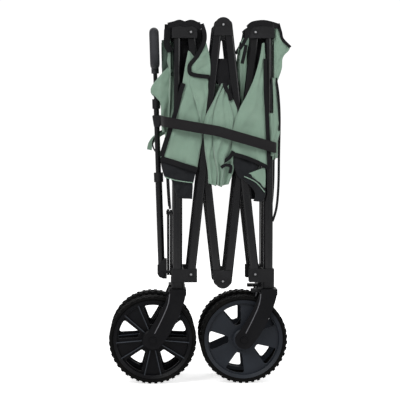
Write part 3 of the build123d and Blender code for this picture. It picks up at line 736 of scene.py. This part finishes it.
# Each tape: the part that carries it, its cloth, its width and its line.
tape_thick, tape_proud = 0.0016, 0.0012
tapes = {
    "front_edge": ("front", binding, 9.0,
                   hung((-81, 18, 92), (-86, 19, 108), (-95, 21, 144), (-109, 22, 189), (-125, 19, 240))),
    "front_hem": ("front", binding, 11.0,
                  hung((-127, 18, 244), (-100, 20, 252), (-76, 19, 260), (-53, 16, 267))),
    "front_piping": ("front", sage, 1.8,
                     hung((-119, 19, 281), (-95, 20, 288), (-61, 18, 293))),
    "front_rim_edge": ("front rim", binding, 8.5,
                       hung((-44, 15, -28), (-38, 15, -8), (-40, 16, 12), (-54, 20, 38), (-67, 22, 54),
                            (-69, 23, 64), (-66, 23, 73), (-50, 20, 77), (-28, 14, 79))),
    "middle_hanger": ("middle", binding, 9.0,
                      hung((6, 1, -16), (10, 1, 12), (13, 2, 46))),
    "middle_crease_upper": ("middle", binding, 7.5,
                            hung((0, 20, 250), (8, 21, 245), (15, 20, 238), (20, 17, 229))),
    "middle_crease_lower": ("middle", binding, 6.5,
                            hung((-5, 21, 262), (4, 22, 257), (15, 20, 260), (13, 19, 274))),
    "middle_gather": ("middle", binding, 8.0,
                      hung((2, 13, 92), (6, 15, 104), (13, 15, 114), (16, 13, 126))),
    "rear_front_edge": ("rear", binding, 8.0,
                        hung((85, 15, 42), (86, 16, 110), (89, 18, 170), (91, 19, 215), (93, 18, 262))),
    "rear_hem": ("rear", binding, 8.0,
                 hung((17, 18, 234), (40, 20, 240), (66, 19, 250), (94, 17, 264))),
    "rear_piping": ("rear", sage, 1.8,
                    hung((42, 19, 280), (66, 20, 292), (84, 17, 312))),
    "rear_rim_loop": ("rear rim", binding, 7.0,
                      hung((52, 13, -24), (48, 14, -4), (40, 14, 12), (33, 13, 22))),
    "rear_rim_edge": ("rear rim", binding, 7.0,
                      hung((46, 12, 14), (43, 13, 30), (38, 12, 52))),
    "rear_wall_edge": ("rear post", binding, 6.0,
                       hung((112, 4, -30), (117, 5, -12), (121, 5, 2), (137, 4, 18))),
    "rear_wall_strap": ("rear post", binding, 5.0,
                        hung((107, 6, 80), (112, 6, 112), (115, 4, 160), (114, 4, 235), (113, 4, 300),
                             (109, 4, 345), (101, 4, 372))),
    "front_hanging_tape": ("front post", binding, 5.0,
                           hung((-112, 14, 284), (-110, 13, 320), (-108, 13, 346))),
    "front_tab": ("front post", sage, 10.0,
                  hung((-108, -72, 186), (-122, -72, 190), (-138, -72, 201), (-147, -72, 213),
                       (-150, -72, 226))),
    "front_tab_loop": ("front post", binding, 3.0,
                       hung((-109, -70, 182), (-130, -70, 190), (-143, -70, 212), (-134, -70, 232),
                            (-109, -70, 236))),
    "front_wall_edge": ("front post", binding, 13.0,
                        hung((-112, 2, -28), (-113, 0, -6), (-114, -4, 12), (-106, -6, 26))),
    "rim_over_front": ("front post", binding, 11.0,
                       hung((-112, 10, -25), (-99, 11, -28), (-89, 12, -31), (-78, 12, -28), (-66, 12, -31),
                            (-56, 12, -28), (-44, 13, -20))),
    "rim_over_rear": ("rear post", binding, 11.0,
                      hung((50, 13, -20), (60, 12, -28), (79, 12, -31), (94, 11, -29), (112, 8, -24))),
}
for side, out in (("near", -1), ("far", 1)):
    for panel, (part, cloth, pleats, depth, belly, left, right) in panels.items():
        piece = hang_cloth(f"{panel}_{side}", left, right, out, cloth, pleats=pleats, depth=depth,
                           belly=belly, columns=28, rows=44)
        carry(piece, side, part)
    for label, (part, cloth, width, line) in tapes.items():
        if label.startswith("front_tab") and side == "far":
            continue
        proud = [(x, y - tape_proud, z) for x, y, z in line]
        piece, long = tape(f"{label}_tape_{side}", proud, width / 1000, tape_thick, cloth, out)
        carry(piece, side, part)

# end walls, gathered between the posts of each end, one half held by each post
post_x = {end: sum(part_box(f"upper_post_{end}_near")[k].x for k in (0, 1)) / 2
          for end in ("front", "rear")}
for end, end_way in (("front", -1), ("rear", 1)):
    for side, out in (("near", -1), ("far", 1)):
        wall_x = post_x[end] + end_way * 0.0145
        left = [(wall_x, -0.046, rim_z - 0.002), (wall_x, -0.047, rim_z - 0.09),
                (wall_x + end_way * 0.002, -0.045, rim_z - 0.17), (wall_x, -0.040, rim_z - 0.246)]
        right = [(wall_x, -0.002, rim_z - 0.020), (wall_x + end_way * 0.003, -0.001, rim_z - 0.09),
                 (wall_x + end_way * 0.004, -0.001, rim_z - 0.17), (wall_x, -0.003, rim_z - 0.236)]
        half = hang_cloth(f"end_wall_{end}_{side}", left, right, out, sage, pleats=2.6, depth=0.0035,
                          belly=0.004, slant=0.3, end_way=end_way)
        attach(half, f"upper_{end}_{side}")
        rim_line = [(wall_x + end_way * 0.004, y, rim_z - down) for y, down in
                    ((-0.050, -0.006), (-0.036, 0.004), (-0.018, 0.016), (-0.001, 0.021))]
        edge, long = tape(f"end_wall_edge_{end}_{side}", rim_line, 0.009, tape_thick, binding, out,
                          flat_way=Vector((1, 0, 0)))
        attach(edge, f"upper_{end}_{side}")

# inner folds of the side walls and the end walls, gathered between the two crossed sides
for name, y, body, x0, x1 in (("bag_near", -0.030, "top_hub_near", -0.026, 0.126),
                              ("bag_far", 0.030, "top_hub_far", -0.026, 0.126),
                              ("bag_front", -0.010, "upper_front_near", -0.024, 0.036),
                              ("bag_rear", 0.010, "upper_rear_far", 0.066, 0.126)):
    left = [(x0, y, 0.640), (x0, y, 0.58), (x0 + 0.004, y, 0.52), (x0 + 0.010, y, 0.46)]
    right = [(x1, y, 0.640), (x1, y, 0.58), (x1 - 0.004, y, 0.52), (x1 - 0.010, y, 0.46)]
    inner = hang_cloth(f"inner_{name}", left, right, -1, sage, pleats=4.0, depth=0.006, belly=0.0,
                       columns=80, hem=0.03)
    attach(inner, body)
    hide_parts(name)

# ---------------------------------------------------------------- closing strap
# Black polypropylene webbing, clipped to the handle, drawn across the bars and round the rear post.
webbing = cloth_material("black_webbing", (0.009, 0.008, 0.009), (0.016, 0.015, 0.016), 650.0,
                         sheen=0.04, roughness=0.7, bump=0.6)
strap_wide, strap_thick = 0.021, 0.0018
route = [(-0.0745, -0.010, 0.536), (-0.0735, -0.045, 0.535), (-0.066, -0.078, 0.532),
         (-0.040, -0.0865, 0.527), (0.000, -0.0855, 0.520), (0.040, -0.0860, 0.513),
         (0.075, -0.0850, 0.503), (0.110, -0.0860, 0.493), (0.145, -0.0800, 0.483),
         (0.1575, -0.070, 0.480), (0.1575, -0.052, 0.480)]
shape = bmesh.new()
steps = 90
lines = [[], []]
for step in range(steps + 1):
    p = along_line(route, step / steps)
    ahead = along_line(route, min(step / steps + 0.01, 1)) - along_line(route, max(step / steps - 0.01, 0))
    ahead.normalize()
    up = (Vector((0, 0, 1)) - ahead * ahead.z).normalized()
    for line, sign in zip(lines, (-1, 1)):
        line.append(shape.verts.new(p + up * sign * strap_wide / 2))
for k in range(steps):
    shape.faces.new((lines[0][k], lines[0][k + 1], lines[1][k + 1], lines[1][k]))
strap_long = sum(f.calc_area() for f in shape.faces) / strap_wide
bmesh.ops.recalc_face_normals(shape, faces=shape.faces)
mesh = bpy.data.meshes.new("strap")
shape.to_mesh(mesh)
shape.free()
mesh.materials.append(webbing)
strap = bpy.data.objects.new("webbing_strap", mesh)
bpy.context.scene.collection.objects.link(strap)
wall = strap.modifiers.new("wall", "SOLIDIFY")
wall.thickness = strap_thick
wall.offset = 0
apply_modifiers(strap)
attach(strap, "frame_rear_near")
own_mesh(strap)
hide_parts("closing_strap")

# ---------------------------------------------------------------- studio
# A white floor under an even white surround, with large soft lights.
mesh = bpy.data.meshes.new("studio")
shape = bmesh.new()
bmesh.ops.create_grid(shape, x_segments=1, y_segments=1, size=12)
shape.to_mesh(mesh)
shape.free()
floor = bpy.data.objects.new("studio_floor", mesh)
bpy.context.scene.collection.objects.link(floor)
pale = bpy.data.materials.new("studio_white")
pale.use_nodes = True
paper = pale.node_tree.nodes["Principled BSDF"]
paper.inputs["Base Color"].default_value = (0.9, 0.9, 0.9, 1)
paper.inputs["Roughness"].default_value = 0.9
paper.inputs["Specular IOR Level"].default_value = 0.1
paper.inputs["Emission Color"].default_value = (1, 1, 1, 1)
glow = pale.node_tree.nodes.new("ShaderNodeMath")
glow.operation = "MULTIPLY"
glow.inputs[1].default_value = 0.7
looked_at = pale.node_tree.nodes.new("ShaderNodeLightPath")
pale.node_tree.links.new(looked_at.outputs["Is Camera Ray"], glow.inputs[0])
pale.node_tree.links.new(glow.outputs["Value"], paper.inputs["Emission Strength"])
mesh.materials.append(pale)
for name, place, size, power in (("key", (-1.8, -2.6, 2.6), 1.6, 75), ("fill", (2.4, -2.2, 1.6), 2.0, 30),
                                 ("back", (0.4, 2.8, 2.8), 2.6, 40)):
    lamp_data = bpy.data.lights.new(name, "AREA")
    lamp_data.size = size
    lamp_data.energy = power
    lamp = bpy.data.objects.new(name, lamp_data)
    lamp.location = place
    lamp.rotation_euler = (Vector((0, 0, 0.35)) - Vector(place)).to_track_quat("-Z", "Y").to_euler()
    bpy.context.scene.collection.objects.link(lamp)
world = bpy.data.worlds.new("studio")
world.use_nodes = True
sky = world.node_tree
surround = sky.nodes["Background"]
surround.inputs["Color"].default_value = (1, 1, 1, 1)
seen = sky.nodes.new("ShaderNodeLightPath")
bright = sky.nodes.new("ShaderNodeMapRange")
bright.inputs["To Min"].default_value = 0.42
bright.inputs["To Max"].default_value = 1.05
sky.links.new(seen.outputs["Is Camera Ray"], bright.inputs["Value"])
sky.links.new(bright.outputs["Result"], surround.inputs["Strength"])
bpy.context.scene.world = world
bpy.context.scene.view_settings.view_transform = "Standard"
